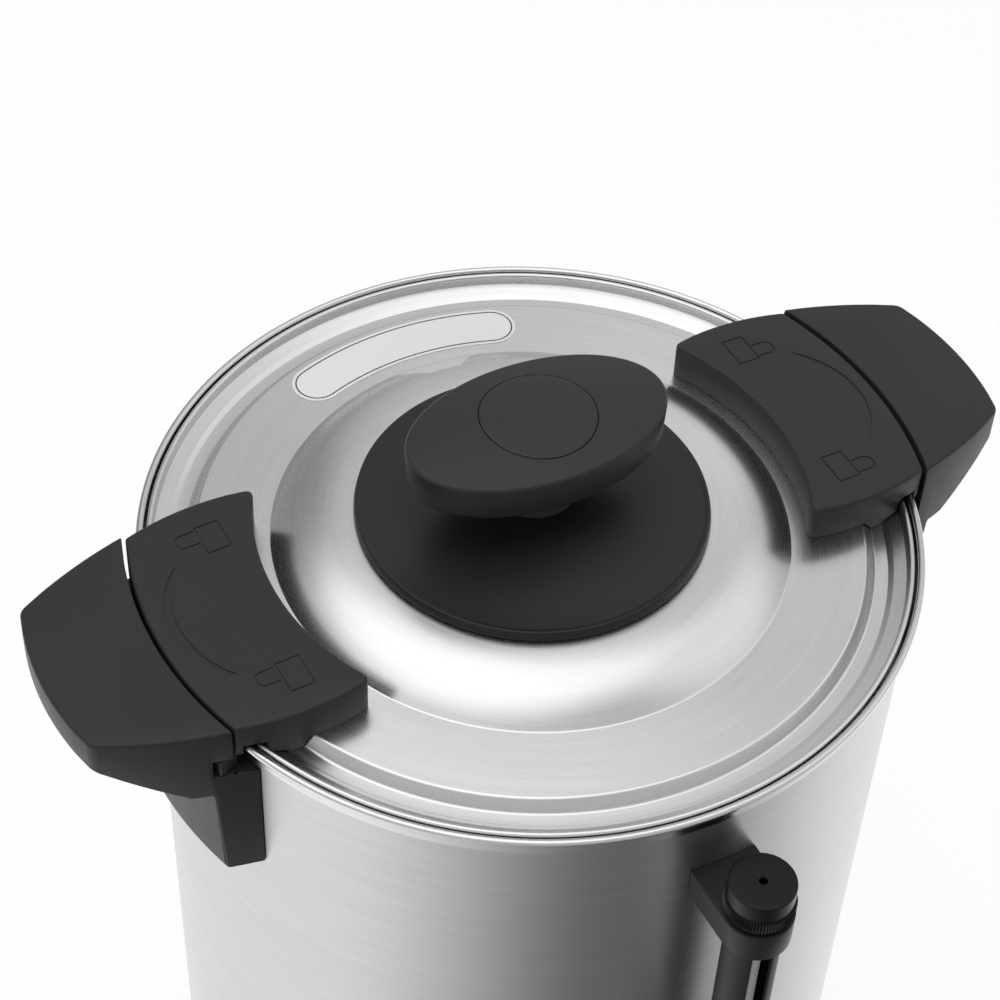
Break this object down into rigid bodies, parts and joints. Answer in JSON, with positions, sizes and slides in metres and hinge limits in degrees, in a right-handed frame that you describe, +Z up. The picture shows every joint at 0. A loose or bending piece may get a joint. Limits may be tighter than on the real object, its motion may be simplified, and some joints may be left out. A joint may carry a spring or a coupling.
{
  "type": "coffee urn",
  "caption": "Double-wall steel percolator urn with a twist-lock lid, oval knob, side handles, sight gauge and a lever tap.",
  "frame": {"origin": "on the urn's axis, in the plane of the feet's undersides", "axes": "+Z up along the urn's axis; -Y to the front, where the tap, the gauge and the switch are; +X to the right handle"},
  "size_m": [0.385, 0.3737, 0.4968],
  "materials": {
    "shell": "brushed lengthwise, satin",
    "vessel": "drawn, satin",
    "lid": "brushed in circles, satin",
    "base": "fine texture",
    "cover": "galvanised grey",
    "foot": "matt",
    "fastener": "plated",
    "heater": "cast",
    "phenolic": "moulded",
    "ceramic_body": "moulded",
    "inlet": "moulded",
    "pins": "plated",
    "switch": "moulded",
    "rocker": "moulded",
    "red_lens": "translucent",
    "green_lens": "translucent",
    "handle": "fine texture",
    "knob": "satin with a polished lip",
    "gauge": "moulded",
    "cap": "moulded",
    "glass": "clear",
    "seal": "matt",
    "silicone": "matt",
    "tap": "polished",
    "percolator": "satin",
    "label": "blank white film with a thin dark border line"
  },
  "bodies": {
    "urn": {"outer_shell": "shell", "inner_vessel": "vessel", "base_housing": "base", "bottom_cover": "cover", "feet": "foot", "foot_studs": "fastener", "foot_nuts": "fastener", "base_screws": "fastener", "ring_heater": "heater", "thermostat": "phenolic", "thermal_cutout": "ceramic_body", "power_inlet": "inlet", "inlet_pins": "pins", "inlet_screws": "fastener", "switch_body": "switch", "red_lamp": "red_lens", "green_lamp": "green_lens", "left_handle": "handle", "right_handle": "handle", "handle_screws": "fastener", "gauge_bracket": "gauge", "gauge_cap": "cap", "gauge_glass": "glass", "gauge_guard": "gauge", "gauge_seals": "seal", "bracket_screws": "fastener", "tap_shank": "tap", "tap_body": "tap", "tap_spout": "tap", "tap_nut": "tap", "tap_washers": "silicone", "tap_bonnet": "cap", "tap_spring": "fastener", "pump_tube": "percolator", "pump_foot": "percolator", "coffee_basket": "percolator", "basket_cover": "percolator"},
    "lid_ring": {"lid_gasket": "silicone"},
    "lid": {"lid_plate": "lid", "lid_label": "label", "knob_base": "knob", "knob_grip": "handle", "knob_disc": "handle", "knob_screw": "fastener", "left_ear": "handle", "right_ear": "handle", "ear_screws": "fastener"},
    "valve": {"valve_stem": "fastener", "valve_cup": "silicone"},
    "lever": {"tap_lever": "cap", "lever_pin": "fastener"},
    "rocker": {"rocker": "rocker"}
  },
  "joints": [
    {"name": "lid_lift", "type": "slide", "parent": "urn", "child": "lid_ring", "axis": [0, 0, 1], "range_m": [0, 0.15]},
    {"name": "lid_twist", "type": "hinge", "parent": "lid_ring", "child": "lid", "pos_m": [0, 0, 0.44], "axis": [0, 0, 1], "range_deg": [0, 20]},
    {"name": "valve_slide", "type": "slide", "parent": "urn", "child": "valve", "axis": [0, 0, 1], "range_m": [0, 0.0037], "deforming": ["tap_spring"]},
    {"name": "tap_lever", "type": "hinge", "parent": "valve", "child": "lever", "pos_m": [0, -0.204, 0.1788], "axis": [1, 0, 0], "range_deg": [0, 45], "stiffness_Nm_per_rad": 0.3, "springref_deg": -11.46},
    {"name": "switch_rocker", "type": "hinge", "parent": "urn", "child": "rocker", "pos_m": [0, -0.1481, 0.052], "axis": [1, 0, 0], "range_deg": [0, 16]}
  ],
  "couplings": [
    {"joint": "valve_slide", "follows": "tap_lever", "m_per_rad": 0.0046}
  ]
}
